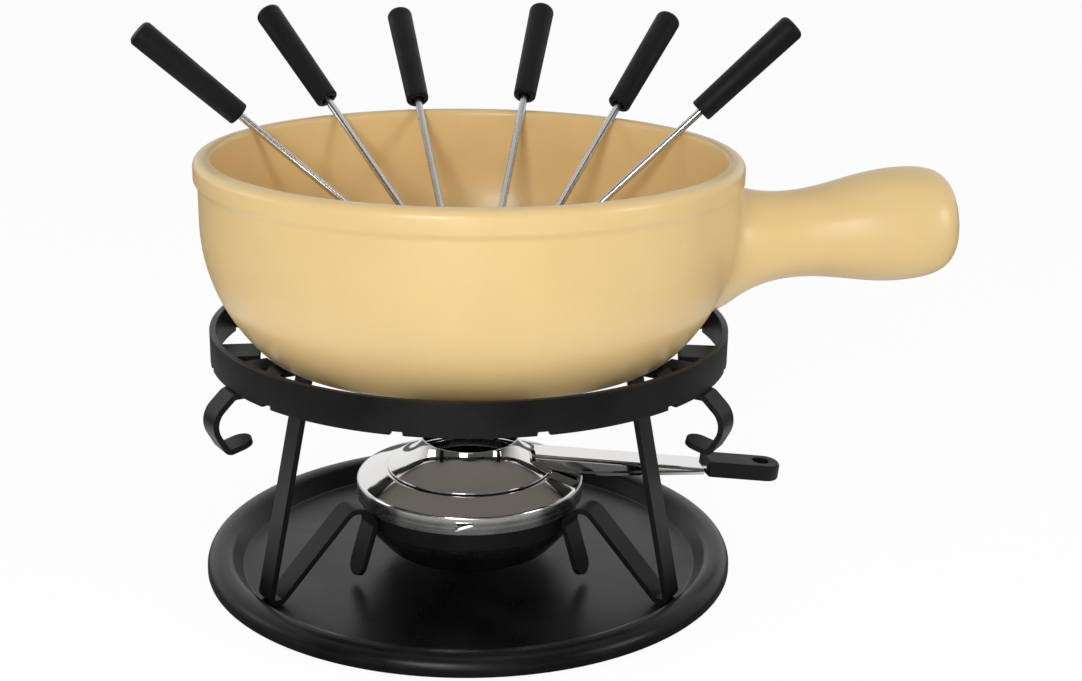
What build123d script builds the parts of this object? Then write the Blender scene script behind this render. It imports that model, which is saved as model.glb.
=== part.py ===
from build123d import *
from math import asin, cos, degrees, radians, sin, tan
import os

# Fondue pot set: a glazed pot with a thick rim and one handle, a sheet-metal stand with three
# bent strip legs on a round tray, a spirit burner held by the legs' inner hooks, and six forks.
# Millimetres. The origin is the centre of the tray's underside, +Z is up, and the pot's handle
# points along +X. Azimuths are degrees round +Z, counted from +X.

os.makedirs("parts", exist_ok=True)

# ---------------------------------------------------------------- fits
seat_gap = 0.3            # between a piece that lifts off and what it stands on
slip_gap = 0.05           # between pieces of one body that slip over each other

# ---------------------------------------------------------------- tray
tray_radius = 121.5
tray_height = 10.0
tray_sheet = 1.2
tray_floor_radius = 105.5
tray_lip_width = 9.6      # from the inner shoulder of the rolled lip to its outer edge
tray_lip_drop = 1.6       # height of the lip's free edge over the table
tray_bends = (2.5, 5.0, 5.4)    # radii: floor, inner shoulder, outer edge

# ---------------------------------------------------------------- pot
pot_rim_radius = 120.0
pot_rim_height = 193.4    # over the table
pot_base_height = 108.5   # over the table, where it stands on the legs
pot_lip_band = 11.0       # height of the thick band at the rim
pot_lip_step = 1.8        # how far the band stands out from the wall
pot_wall = 6.0
pot_floor = 6.5
pot_shoulder_height = 165.0   # where the straight wall turns into the bowl
pot_bowl_radius = 76.0
pot_base_corner = 5.4
pot_inner_corner = 14.0
rim_outer_round = 4.0
rim_inner_round = 1.8

# ---------------------------------------------------------------- pot handle
handle_root_x = 109.0
handle_root_height = 153.4
handle_rise = 6.0         # degrees
handle_length = 108.6
handle_root_radius = 33.0
handle_neck_radius = 19.5
handle_neck_at = 34.0
handle_bulge_radius = 25.35
handle_bulge_at = 82.0
handle_flare_at = 12.0    # where the root has narrowed by handle_flare_drop
handle_flare_drop = 9.5
handle_end_inset = 8.0    # from the handle's end to where the bulge has narrowed by handle_end_drop
handle_end_drop = 3.4
handle_tip_inset = 2.0    # from the handle's end to where its round tip starts
handle_tip_radius = 14.5

# ---------------------------------------------------------------- stand ring
ring_inset = 2.2          # from the pot's straight wall in to the ring's outside
ring_sheet = 3.0
ring_bottom = 102.0
ring_height = 15.0
leg_azimuths = (-150, -30, 90)
wide_tab_width = 52.0
wide_tab_reach = 88.0     # radius at the middle of a wide tab's inner end
leg_slot_width = 23.0
leg_slot_outer = 109.0
short_tab_width = 20.0
short_tab_reach = 94.0
short_tab_offset = 24.0   # degrees to each side of a leg
relief_width = 5.0
relief_height = 1.6
ring_edge_round = 0.7

# ---------------------------------------------------------------- legs
strip_width = 12.0
strip_sheet = 2.5
hook_tip = (107.5, 79.6)
hook_foot = (119.8, 76.4)
hook_bulge = (127.4, 90.5)
shelf_outer = 116.5       # radius where the strip turns under the ring
shelf_inner = 101.5       # radius where the strip leaves the ring's underside
pad_outer = 94.0
pad_inner = 81.3
foot_outer = 103.4
foot_inner = 98.0
cradle_slope = radians(44)
cradle_shoulder = 11.2    # along the strip, from the burner's seat to the bend above it
cradle_toe = 2.6          # along the strip, from the burner's seat to the bend below it
cradle_end = (59.6, 4.4)
strip_end_round = 5.8
# radii of the strip's bends, from the outer hook's foot to the inner hook's toe
leg_bends = (2.5, 10.0, 3.0, 3.0, 3.0, 4.0, 2.0, 2.0, 6.0, 5.0)

# ---------------------------------------------------------------- burner
burner_skirt_radius = 52.4
burner_seat_height = 33.2     # lower edge of the chrome skirt
burner_sheet = 0.9
skirt_height = 8.7
hood_base_radius = 38.6
hood_base_height = 46.3
hood_mouth_radius = 21.8
hood_mouth_height = 60.4
hood_waist_radius = 26.5
hood_waist_height = 53.0
neck_gap = 3.6            # from the hood's mouth out to the cover's neck inside it
neck_height = 4.5
cover_bends = (1.3, 2.0, 1.2)
collar_inset = 2.8        # from the skirt's outside in to the collar's
collar_sheet = 1.1
collar_height = 9.0
collar_tuck = 3.0         # how far the collar reaches up inside the skirt
collar_edge_round = 0.4
bowl_sheet = 0.8
bowl_foot_radius = 37.5
bowl_foot_height = 8.6
bowl_flange_inset = 1.8   # from the skirt's outside in to the bowl's flange
bowl_shoulder_drop = 3.5  # from the collar's lower edge down to the bowl's shoulder
bowl_bends = (9.0, 8.0, 0.8)
cup_radius = 30.0
cup_height = 26.0
cup_sheet = 0.6
cup_round = 3.0
gauze_sink = 1.0          # from the cup's edge down to the gauze
pad_gap = 0.4
gauze_sheet = 0.8
gauze_hole = 1.6
gauze_pitch = 5.4
cam_length = 13.6
cam_height = 5.0
cam_depth = 0.5
cam_rise = 1.0            # from the skirt's lower edge
cam_round = 0.8
cam_azimuths = (-90, 30, 150)

# ---------------------------------------------------------------- regulator arm and grip
arm_azimuth = 2.0
arm_fall = 5.5            # degrees, down towards the grip
arm_width = 16.0
arm_start = 30.0
arm_start_height = 53.2   # top of the arm at arm_start
arm_sheet = 1.2
arm_edge_height = 43.2    # lower edge of the arm's folded sides
arm_edge_lip = 1.4        # how far that edge is turned out
arm_round = 1.6
arm_step_gap = 1.0        # from the skirt out to the step in the arm's lower edge
grip_start = 108.6
grip_length = 37.0
grip_width = 15.6
grip_thickness = 7.6
grip_slant = 2.5
grip_corner_round = 1.5
grip_end_flat = 1.6       # what the round outer end leaves flat
grip_edge_round = 1.2
grip_hole_radius = 4.0
grip_hole_inset = 9.0
tongue_width = 9.0
tongue_length = 10.0
rivet_radius = 1.5
rivet_head_radius = 2.6
rivet_head = 0.8
rivet_reach = 1.5         # how far the rivet stands up over the arm's tongue, inside the grip

# ---------------------------------------------------------------- forks
fork_handle_length = 58.7
fork_length = 184.0
fork_handle_radius = 6.35
fork_handle_neck = 5.6
fork_shank_radius = 1.8
fork_bore_depth = 18.0
fork_socket_radius = 3.2
fork_socket_depth = 1.6
fork_end_round = 2.6
fork_start_round = 1.0
tine_length = 32.0
tine_spread = 7.6
tine_width = 1.8
tine_sheet = 1.6
tine_root = 6.0           # from the yoke's lower edge up to the shank
tine_neck = 3.0           # how far the flat steel runs up the shank
barb_at = 7.2             # from the tip
barb_rise = 1.8
barb_reach = 0.8
tine_bevel = 4.0
rim_rest = 0.4            # from a shank's side to the rim it leans on
# where each fork crosses the rim (azimuth), and how far its tip stands from there on the pot's
# floor: in towards the middle, and to the side
fork_places = (
    (154.2, 68.0, -54.6),
    (126.0, 85.2, -17.1),
    (103.4, 91.4, -1.2),
    (76.8, 87.6, 0.4),
    (51.8, 88.3, 2.0),
    (27.8, 74.3, 35.4),
)

# ---------------------------------------------------------------- worked out from the sizes above
pot_wall_radius = pot_rim_radius - pot_lip_step
pot_inner_radius = pot_wall_radius - pot_wall
ring_radius = pot_wall_radius - ring_inset
collar_radius = burner_skirt_radius - collar_inset
bowl_flange_radius = burner_skirt_radius - bowl_flange_inset
pot_floor_height = pot_base_height + pot_floor
pad_height = pot_base_height - seat_gap - strip_sheet / 2
shelf_height = ring_bottom - strip_sheet / 2
foot_height = tray_sheet + seat_gap + strip_sheet / 2
plate_height = hood_base_height - seat_gap - burner_sheet / 2


def radial_plane(azimuth):
    """The upright plane through +Z at an azimuth: its x is the radius and its y is the height."""
    angle = radians(azimuth)
    return Plane(
        origin=(0, 0, 0),
        x_dir=(cos(angle), sin(angle), 0),
        z_dir=(sin(angle), -cos(angle), 0),
    )


def save(piece, name):
    """Label one finished piece and write it as its own STEP file."""
    piece.part.label = name
    export_step(piece.part, f"parts/{name}.step")


# ---------------------------------------------------------------- tray
lip_shoulder = tray_radius - tray_sheet / 2 - tray_lip_width
with BuildPart() as tray:
    with BuildSketch(Plane.XZ):
        with BuildLine():
            FilletPolyline(
                (0, tray_sheet / 2),
                (tray_floor_radius, tray_sheet / 2),
                (lip_shoulder, tray_height - tray_sheet / 2),
                (tray_radius - tray_sheet / 2, tray_height - tray_sheet / 2),
                (tray_radius - tray_sheet / 2, tray_lip_drop),
                radius=tray_bends,
            )
        trace(line_width=tray_sheet)
    revolve(axis=Axis.Z)
save(tray, "tray")

# ---------------------------------------------------------------- stand ring with its bent tabs
with BuildPart() as stand_ring:
    with BuildSketch(Plane.XY.offset(ring_bottom)):
        Circle(ring_radius)
        Circle(ring_radius - ring_sheet, mode=Mode.SUBTRACT)
    extrude(amount=ring_height)
    with BuildSketch(Plane.XY.offset(ring_bottom)):
        tab_outer = ring_radius - ring_sheet / 2
        wide_tab_middle = (tab_outer + wide_tab_reach) / 2
        with PolarLocations(wide_tab_middle, 2 * len(leg_azimuths), start_angle=leg_azimuths[0]):
            Rectangle(tab_outer - wide_tab_reach, wide_tab_width)
        with PolarLocations(leg_slot_outer / 2, len(leg_azimuths), start_angle=leg_azimuths[0]):
            Rectangle(leg_slot_outer, leg_slot_width, mode=Mode.SUBTRACT)
        short_tab_middle = (tab_outer + short_tab_reach) / 2
        for offset_angle in (-short_tab_offset, short_tab_offset):
            start = leg_azimuths[0] + offset_angle
            with PolarLocations(short_tab_middle, len(leg_azimuths), start_angle=start):
                Rectangle(tab_outer - short_tab_reach, short_tab_width)
        Circle(tab_outer, mode=Mode.INTERSECT)
    extrude(amount=ring_sheet)
    relief_angle = degrees(asin((wide_tab_width + relief_width) / 2 / ring_radius))
    for offset_angle in (-relief_angle, relief_angle):
        start = leg_azimuths[0] + offset_angle
        with PolarLocations(ring_radius, 2 * len(leg_azimuths), start_angle=start):
            with Locations((0, 0, ring_bottom)):
                Box(4 * ring_sheet, relief_width, 2 * relief_height, mode=Mode.SUBTRACT)
    rim_edges = stand_ring.edges().filter_by(GeomType.CIRCLE).group_by(Axis.Z)[-1]
    fillet(rim_edges, ring_edge_round)
save(stand_ring, "stand_ring")

# ---------------------------------------------------------------- legs: one bent strip each
seat_radius = burner_skirt_radius + strip_sheet / 2 * sin(cradle_slope)
seat_height = burner_seat_height - seat_gap - strip_sheet / 2 * cos(cradle_slope)
cradle_top = (
    seat_radius + cradle_shoulder * cos(cradle_slope),
    seat_height + cradle_shoulder * sin(cradle_slope),
)
cradle_low = (
    seat_radius - cradle_toe * cos(cradle_slope),
    seat_height - cradle_toe * sin(cradle_slope),
)


def leg_strip(azimuth):
    """Bend one flat strip: outer hook, shelf under the ring, pot pad, leg, foot and inner hook."""
    with BuildPart() as strip:
        with BuildSketch(radial_plane(azimuth)):
            with BuildLine():
                FilletPolyline(
                    hook_tip,
                    hook_foot,
                    hook_bulge,
                    (shelf_outer, shelf_height),
                    (shelf_inner, shelf_height),
                    (pad_outer, pad_height),
                    (pad_inner, pad_height),
                    (foot_outer, foot_height),
                    (foot_inner, foot_height),
                    cradle_top,
                    cradle_low,
                    cradle_end,
                    radius=leg_bends,
                )
            trace(line_width=strip_sheet)
        extrude(amount=strip_width / 2, both=True)
        corners = strip.edges().filter_by(lambda edge: abs(edge.length - strip_sheet) < 0.001)
        fillet(corners, strip_end_round)
    return strip


leg_names = ("leg_front_left", "leg_front_right", "leg_back")
for leg_name, leg_azimuth in zip(leg_names, leg_azimuths):
    save(leg_strip(leg_azimuth), leg_name)

# ---------------------------------------------------------------- pot with its handle
handle_plane = Plane(
    origin=(handle_root_x, 0, handle_root_height),
    x_dir=(cos(radians(handle_rise)), 0, sin(radians(handle_rise))),
    z_dir=(0, -1, 0),
)


def bowl_profile(radius, bowl_radius, corner_radius, floor_height, top_height):
    """Draw half of a bowl: straight wall, large arc, small corner arc and flat floor."""
    drop = pot_shoulder_height - corner_radius - floor_height
    turn = degrees(asin(drop / (bowl_radius - corner_radius)))
    wall = Line((radius, top_height), (radius, pot_shoulder_height))
    bowl = JernArc(wall @ 1, (0, -1), bowl_radius, -turn)
    corner = JernArc(bowl @ 1, bowl % 1, corner_radius, turn - 90)
    floor = Line(corner @ 1, (0, floor_height))
    centre = Line(floor @ 1, (0, top_height))
    Line(centre @ 1, wall @ 0)


with BuildPart() as pot:
    with BuildSketch(Plane.XZ):
        with BuildLine():
            bowl_profile(
                pot_wall_radius, pot_bowl_radius, pot_base_corner, pot_base_height, pot_rim_height
            )
        make_face()
        with Locations((pot_rim_radius / 2, pot_rim_height - pot_lip_band / 2)):
            Rectangle(pot_rim_radius, pot_lip_band)
    revolve(axis=Axis.Z)
    with BuildSketch(handle_plane):
        with BuildLine():
            grip = Spline(
                (0, handle_root_radius),
                (handle_flare_at, handle_root_radius - handle_flare_drop),
                (handle_neck_at, handle_neck_radius),
                (handle_bulge_at, handle_bulge_radius),
                tangents=((0.5, -1), (1, 0)),
            )
            end = Spline(
                grip @ 1,
                (handle_length - handle_end_inset, handle_bulge_radius - handle_end_drop),
                (handle_length - handle_tip_inset, handle_tip_radius),
                (handle_length, 0),
                tangents=((1, 0), (0, -1)),
            )
            Polyline(end @ 1, (0, 0), grip @ 0)
        make_face()
    revolve(axis=Axis(handle_plane.origin, handle_plane.x_dir))
    with BuildSketch(Plane.XZ):
        with BuildLine():
            bowl_profile(
                pot_inner_radius,
                pot_bowl_radius - pot_wall,
                pot_inner_corner,
                pot_floor_height,
                pot_rim_height,
            )
        make_face()
    revolve(axis=Axis.Z, mode=Mode.SUBTRACT)
    rim_circles = pot.edges().filter_by(GeomType.CIRCLE).group_by(Axis.Z)[-1].sort_by(SortBy.RADIUS)
    fillet(rim_circles[-1], rim_outer_round)
    fillet(rim_circles[0], rim_inner_round)
save(pot, "pot")

# ---------------------------------------------------------------- burner: bowl, collar and fuel
bowl_radius = collar_radius - collar_sheet - slip_gap - bowl_sheet / 2
skirt_mid_radius = burner_skirt_radius - burner_sheet / 2
skirt_top = burner_seat_height + skirt_height - burner_sheet / 2
plate_slope = (plate_height - skirt_top) / (skirt_mid_radius - hood_base_radius - 1)
flange_top = skirt_top + (skirt_mid_radius - bowl_flange_radius) * plate_slope
flange_height = flange_top - burner_sheet / 2 - seat_gap - bowl_sheet

with BuildPart() as burner_bowl:
    with BuildSketch(Plane.XZ):
        with BuildLine():
            FilletPolyline(
                (0, bowl_foot_height),
                (bowl_foot_radius, bowl_foot_height),
                (bowl_radius, burner_seat_height - collar_height - bowl_shoulder_drop),
                (bowl_radius, flange_height),
                (bowl_flange_radius, flange_height),
                radius=bowl_bends,
            )
        trace(line_width=bowl_sheet)
    revolve(axis=Axis.Z)
save(burner_bowl, "burner_bowl")

with BuildPart() as burner_collar:
    with BuildSketch(Plane.XY.offset(burner_seat_height - collar_height)):
        Circle(collar_radius)
        Circle(collar_radius - collar_sheet, mode=Mode.SUBTRACT)
    extrude(amount=collar_height + collar_tuck)
    fillet(burner_collar.edges().group_by(Axis.Z)[0], collar_edge_round)
save(burner_collar, "burner_collar")

cup_floor = bowl_foot_height + bowl_sheet / 2
with BuildPart() as fuel_cup:
    with BuildSketch(Plane.XY.offset(cup_floor)):
        Circle(cup_radius)
    extrude(amount=cup_height)
    fillet(fuel_cup.edges().group_by(Axis.Z)[0], cup_round)
    offset(amount=-cup_sheet, openings=fuel_cup.faces().sort_by(Axis.Z)[-1])
save(fuel_cup, "fuel_cup")

wick_radius = cup_radius - cup_sheet - pad_gap
wick_top = cup_floor + cup_height - gauze_sheet - gauze_sink
with BuildPart() as wick_pad:
    with BuildSketch(Plane.XY.offset(cup_floor + cup_sheet)):
        Circle(wick_radius)
    extrude(amount=wick_top - cup_floor - cup_sheet)
    fillet(wick_pad.edges().group_by(Axis.Z)[0], cup_round)
save(wick_pad, "wick_pad")

with BuildPart() as gauze:
    with BuildSketch(Plane.XY.offset(wick_top)):
        Circle(wick_radius)
        for ring_number in range(1, int((wick_radius - gauze_pitch / 2) / gauze_pitch) + 1):
            with PolarLocations(ring_number * gauze_pitch, 6 * ring_number):
                Circle(gauze_hole, mode=Mode.SUBTRACT)
        Circle(gauze_hole, mode=Mode.SUBTRACT)
    extrude(amount=gauze_sheet)
save(gauze, "gauze")

# ---------------------------------------------------------------- burner cover
neck_radius = hood_mouth_radius + neck_gap
neck_top = plate_height + neck_height
with BuildPart() as burner_cover:
    with BuildSketch(Plane.XZ):
        with BuildLine():
            FilletPolyline(
                (skirt_mid_radius, burner_seat_height),
                (skirt_mid_radius, skirt_top),
                (hood_base_radius + 1, plate_height),
                (neck_radius, plate_height),
                (neck_radius, neck_top),
                radius=cover_bends,
            )
        trace(line_width=burner_sheet)
    revolve(axis=Axis.Z)
    for cam_azimuth in cam_azimuths:
        cam_plane = Plane(
            origin=(
                burner_skirt_radius * cos(radians(cam_azimuth)),
                burner_skirt_radius * sin(radians(cam_azimuth)),
                burner_seat_height + cam_rise,
            ),
            x_dir=(-sin(radians(cam_azimuth)), cos(radians(cam_azimuth)), 0),
            z_dir=(cos(radians(cam_azimuth)), sin(radians(cam_azimuth)), 0),
        )
        with BuildSketch(cam_plane):
            with BuildLine():
                FilletPolyline(
                    (-cam_length / 2, 0),
                    (cam_length / 2, cam_height),
                    (-cam_length / 2, cam_height),
                    radius=cam_round,
                    close=True,
                )
            make_face()
        extrude(amount=cam_depth + burner_sheet / 2, both=True)
    with BuildSketch(Plane.XY.offset(burner_seat_height)):
        Circle(skirt_mid_radius - burner_sheet / 2)
    extrude(amount=skirt_height - 2 * burner_sheet, mode=Mode.SUBTRACT)
save(burner_cover, "burner_cover")

# ---------------------------------------------------------------- regulator: hood, arm and grip
hood_foot = hood_base_height + burner_sheet / 2


def hood_section():
    """Draw the hood's flared sheet in section."""
    return Spline(
        (hood_base_radius - burner_sheet / 2, hood_foot),
        (hood_waist_radius, hood_waist_height),
        (hood_mouth_radius, hood_mouth_height),
        tangents=((-1, 0.25), (-0.3, 1)),
    )


with BuildPart() as regulator_hood:
    with BuildSketch(Plane.XZ):
        with BuildLine():
            hood_section()
        trace(line_width=burner_sheet)
    revolve(axis=Axis.Z)
save(regulator_hood, "regulator_hood")

arm_angle = radians(arm_azimuth)
fall = radians(arm_fall)
arm_side = radial_plane(arm_azimuth)
grip_start_height = arm_start_height - (grip_start - arm_start) * tan(fall)
# the plane of the arm's top sheet, with its origin where the grip starts
top_plane = Plane(
    origin=(grip_start * cos(arm_angle), grip_start * sin(arm_angle), grip_start_height),
    x_dir=(cos(fall) * cos(arm_angle), cos(fall) * sin(arm_angle), -sin(fall)),
    z_dir=(sin(fall) * cos(arm_angle), sin(fall) * sin(arm_angle), cos(fall)),
)
edge_clear = hood_base_height + seat_gap
edge_turn = burner_skirt_radius + arm_step_gap


def arm_outline(lowered):
    """Draw the arm's side: sloping top, lower edge clear of the burner cover."""
    Polyline(
        (arm_start, arm_start_height - lowered),
        (grip_start, grip_start_height - lowered),
        (grip_start, arm_edge_height),
        (edge_turn, arm_edge_height),
        (hood_base_radius - 1, edge_clear),
        (arm_start, edge_clear),
        close=True,
    )


with BuildPart() as regulator_arm:
    with BuildSketch(arm_side):
        with BuildLine():
            arm_outline(0)
        make_face()
    extrude(amount=arm_width / 2, both=True)
    long_edges = regulator_arm.edges().filter_by(Axis(top_plane.origin, top_plane.x_dir))
    fillet(long_edges, arm_round)
    with BuildSketch(arm_side):
        with BuildLine():
            Polyline(
                (grip_start, arm_edge_height),
                (edge_turn, arm_edge_height),
                (hood_base_radius - 1, edge_clear),
                (hood_base_radius - 1, edge_clear + arm_sheet),
                (edge_turn, arm_edge_height + arm_sheet),
                (grip_start, arm_edge_height + arm_sheet),
                close=True,
            )
        make_face()
    extrude(amount=arm_width / 2 + arm_edge_lip, both=True)
    with BuildSketch(arm_side):
        with BuildLine():
            arm_outline(arm_sheet)
        make_face()
    extrude(amount=arm_width / 2 - arm_sheet, both=True, mode=Mode.SUBTRACT)
    with BuildSketch(top_plane):
        Rectangle(2 * tongue_length, tongue_width)
        with Locations((tongue_length / 2, 0)):
            Circle(rivet_radius + slip_gap, mode=Mode.SUBTRACT)
    extrude(amount=-arm_sheet)
    with BuildSketch(Plane.XZ):
        with BuildLine():
            hood_section()
        trace(line_width=burner_sheet)
    revolve(axis=Axis.Z, mode=Mode.SUBTRACT)
    with BuildSketch(Plane.XZ):
        with BuildLine():
            side = hood_section()
            Polyline(
                side @ 1,
                (0, hood_mouth_height),
                (0, plate_height),
                (hood_base_radius - burner_sheet / 2, plate_height),
                side @ 0,
            )
        make_face()
    revolve(axis=Axis.Z, mode=Mode.SUBTRACT)
save(regulator_arm, "regulator_arm")

grip_under = -arm_sheet / 2 - grip_thickness / 2
grip_end_round = (grip_width - grip_end_flat) / 2
with BuildPart() as regulator_grip:
    with BuildSketch(top_plane.offset(grip_under)):
        with BuildLine():
            FilletPolyline(
                (0, grip_width / 2),
                (grip_slant, -grip_width / 2),
                (grip_length, -grip_width / 2),
                (grip_length, grip_width / 2),
                radius=(grip_corner_round, grip_corner_round, grip_end_round, grip_end_round),
                close=True,
            )
        make_face()
    extrude(amount=grip_thickness)
    across_grip = Axis(top_plane.origin, top_plane.z_dir)
    fillet(regulator_grip.edges().group_by(across_grip)[0], grip_edge_round)
    fillet(regulator_grip.edges().group_by(across_grip)[-1], grip_edge_round)
    with BuildSketch(top_plane.offset(slip_gap)):
        Rectangle(2 * (tongue_length + slip_gap), tongue_width + 2 * slip_gap)
    extrude(amount=-arm_sheet - 2 * slip_gap, mode=Mode.SUBTRACT)
    with BuildSketch(top_plane.offset(grip_thickness)):
        with Locations((grip_length - grip_hole_inset, 0)):
            Circle(grip_hole_radius)
    extrude(amount=-3 * grip_thickness, mode=Mode.SUBTRACT)
    with BuildSketch(top_plane.offset(rivet_reach + slip_gap)):
        with Locations((tongue_length / 2, 0)):
            Circle(rivet_radius + slip_gap)
    extrude(amount=-3 * grip_thickness, mode=Mode.SUBTRACT)
save(regulator_grip, "regulator_grip")
hole_place = top_plane.from_local_coords((grip_length - grip_hole_inset, 0, -arm_sheet / 2))
print("grip hole at", tuple(round(value, 4) for value in hole_place))
print("grip hole points along", tuple(round(value, 6) for value in top_plane.z_dir))

with BuildPart() as grip_rivet:
    with BuildSketch(top_plane.offset(grip_under - rivet_head)):
        with Locations((tongue_length / 2, 0)):
            Circle(rivet_head_radius)
    extrude(amount=rivet_head)
    with BuildSketch(top_plane.offset(grip_under)):
        with Locations((tongue_length / 2, 0)):
            Circle(rivet_radius)
    extrude(amount=rivet_reach - grip_under)
    head_edges = grip_rivet.edges().filter_by(GeomType.CIRCLE).group_by(across_grip)
    fillet(head_edges[0], rivet_head / 2)
save(grip_rivet, "grip_rivet")

# ---------------------------------------------------------------- forks
tine_reach = tine_spread / 2
rim_round_radius = pot_inner_radius + rim_inner_round
rim_round_height = pot_rim_height - rim_inner_round


def fork_plane(rim_azimuth, inward, sideways):
    """The plane at a fork's tip: z runs up the fork, x lies along the pot's rim."""
    angle = radians(rim_azimuth)
    rim_round = Vector(
        rim_round_radius * cos(angle), rim_round_radius * sin(angle), rim_round_height
    )
    along_rim = Vector(-sin(angle), cos(angle), 0)
    tip_point = (
        Vector(cos(angle), sin(angle), 0) * (pot_inner_radius - inward)
        + along_rim * sideways
        + Vector(0, 0, pot_floor_height)
    )
    lean = (rim_round - tip_point).normalized()
    over_rim = along_rim.cross(lean).normalized()
    if over_rim.Z < 0:
        over_rim = -over_rim
    rest = rim_round + over_rim * (rim_inner_round + fork_shank_radius + rim_rest)
    across = over_rim.cross(lean)
    drop = tine_reach * abs(across.Z) + tine_sheet / 2 * over_rim.Z + seat_gap
    tip_point = tip_point + Vector(0, 0, drop)
    lean = (rest - tip_point).normalized()
    return Plane(origin=tip_point, x_dir=along_rim - lean * along_rim.dot(lean), z_dir=lean)


def fork_shank(plane):
    """Make a fork's steel: a round shank and two flat barbed tines."""
    shank_top = fork_length - fork_handle_length + fork_bore_depth - seat_gap
    yoke = tine_length - tine_root
    slot = tine_reach - tine_width
    with BuildPart(plane) as shank:
        with Locations((0, 0, tine_length)):
            Cylinder(
                fork_shank_radius,
                shank_top - tine_length,
                align=(Align.CENTER, Align.CENTER, Align.MIN),
            )
        with BuildSketch(Plane(origin=plane.origin, x_dir=plane.x_dir, z_dir=-plane.y_dir)):
            with BuildLine():
                half = Polyline(
                    (0, tine_length + tine_neck),
                    (fork_shank_radius, tine_length + tine_neck),
                    (tine_reach, yoke),
                    (tine_reach, barb_at + barb_rise),
                    (tine_reach + barb_reach, barb_at),
                    (tine_reach - tine_width / 2, 0),
                    (slot, tine_bevel),
                    (slot, yoke - slot / 2),
                    (slot / 2, yoke),
                    (0, yoke),
                )
                mirror(about=Plane.YZ)
            make_face()
        extrude(amount=tine_sheet / 2, both=True)
    return shank


def fork_handle(plane):
    """Make a fork's handle: a tapered rod with a round end, a socket and a bore for the shank."""
    handle_start = fork_length - fork_handle_length
    rod_axis = Axis(plane.origin, plane.z_dir)
    from_start = (Align.CENTER, Align.CENTER, Align.MIN)
    with BuildPart(plane) as handle:
        with Locations((0, 0, handle_start)):
            Cone(fork_handle_neck, fork_handle_radius, fork_handle_length, align=from_start)
        ends = handle.edges().filter_by(GeomType.CIRCLE).sort_by(rod_axis)
        fillet(ends[-1], fork_end_round)
        fillet(ends[0], fork_start_round)
        with Locations((0, 0, handle_start)):
            Cylinder(
                fork_shank_radius + slip_gap, fork_bore_depth, align=from_start, mode=Mode.SUBTRACT
            )
            Cylinder(
                fork_socket_radius, fork_socket_depth, align=from_start, mode=Mode.SUBTRACT
            )
    return handle


for number, (rim_azimuth, inward, sideways) in enumerate(fork_places, start=1):
    place = fork_plane(rim_azimuth, inward, sideways)
    save(fork_shank(place), f"fork_{number}_shank")
    save(fork_handle(place), f"fork_{number}_handle")
    print(f"fork {number} points along", tuple(round(value, 4) for value in place.z_dir))
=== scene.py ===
from math import asin, ceil, cos, degrees, hypot, pi, radians, sin, sqrt, tan

import bmesh
import bpy
from bpy.props import FloatProperty, FloatVectorProperty, IntProperty, PointerProperty
from bpy.types import Operator, Panel, PropertyGroup
from mathutils import Matrix, Vector
from mathutils.geometry import interpolate_bezier


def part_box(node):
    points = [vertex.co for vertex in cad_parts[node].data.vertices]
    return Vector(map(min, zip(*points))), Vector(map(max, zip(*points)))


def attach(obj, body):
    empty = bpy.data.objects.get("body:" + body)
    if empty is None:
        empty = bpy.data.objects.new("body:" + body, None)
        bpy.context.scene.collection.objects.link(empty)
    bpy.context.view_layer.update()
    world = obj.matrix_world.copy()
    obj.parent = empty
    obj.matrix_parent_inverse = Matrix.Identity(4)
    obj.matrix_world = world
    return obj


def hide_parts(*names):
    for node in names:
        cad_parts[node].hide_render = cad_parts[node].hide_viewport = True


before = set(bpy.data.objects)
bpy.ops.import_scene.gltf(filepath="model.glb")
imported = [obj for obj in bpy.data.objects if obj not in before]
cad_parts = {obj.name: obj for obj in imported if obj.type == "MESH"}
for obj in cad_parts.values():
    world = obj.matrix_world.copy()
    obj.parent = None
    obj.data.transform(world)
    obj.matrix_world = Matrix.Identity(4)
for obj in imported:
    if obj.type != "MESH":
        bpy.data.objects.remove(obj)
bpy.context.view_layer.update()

bl_info = {
    "name": "Fondue Pot Set",
    "version": (1, 0, 0),
    "blender": (4, 5, 0),
    "location": "3D View > Sidebar > Fondue",
    "description": "Glazed fondue pot, strip-steel stand, tray, spirit burner and forks",
    "category": "Add Mesh",
}

# Outlines are in millimetres in the frame of the set: the origin is the middle of the tray's
# underside, +Z is up and the pot's handle points along +X. Meshes are scaled to metres last.
MM = 0.001

FINISH = "_finish"        # keeps these materials apart from the frame's plain ones
LEGS = {"leg_front_left": -150.0, "leg_front_right": -30.0, "leg_back": 90.0}
FORKS = range(1, 7)
SKIRT_RADIUS = 52.4
NECK_RADIUS = 25.4
PLATE_HEIGHT = 45.55
HANDLE_ROOT = Vector((109.0, 0.0, 153.4))    # where the handle's own axis starts
HANDLE_ROOT_RADIUS = 33.0
BRUSHED_BELOW = 0.0412                       # in metres, the top of the brushed skirt

# Name, place, target and width in metres, and share of the key's power.
SOFTBOXES = (
    ("key_softbox", (-0.35, -1.30, 0.62), (0, 0, 0.12), 0.42, 1.0),
    ("top_softbox", (0.1, -0.35, 1.25), (0, 0, 0.1), 0.5, 0.10),
    ("left_softbox", (-1.2, 0.1, 0.45), (0, 0, 0.12), 0.45, 0.16),
    ("low_softbox", (-0.10, -1.00, 0.10), (0, 0, 0.09), 0.42, 0.18),
    ("right_softbox", (1.15, -0.55, 0.50), (0.05, 0, 0.12), 0.4, 0.4),
)


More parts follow.
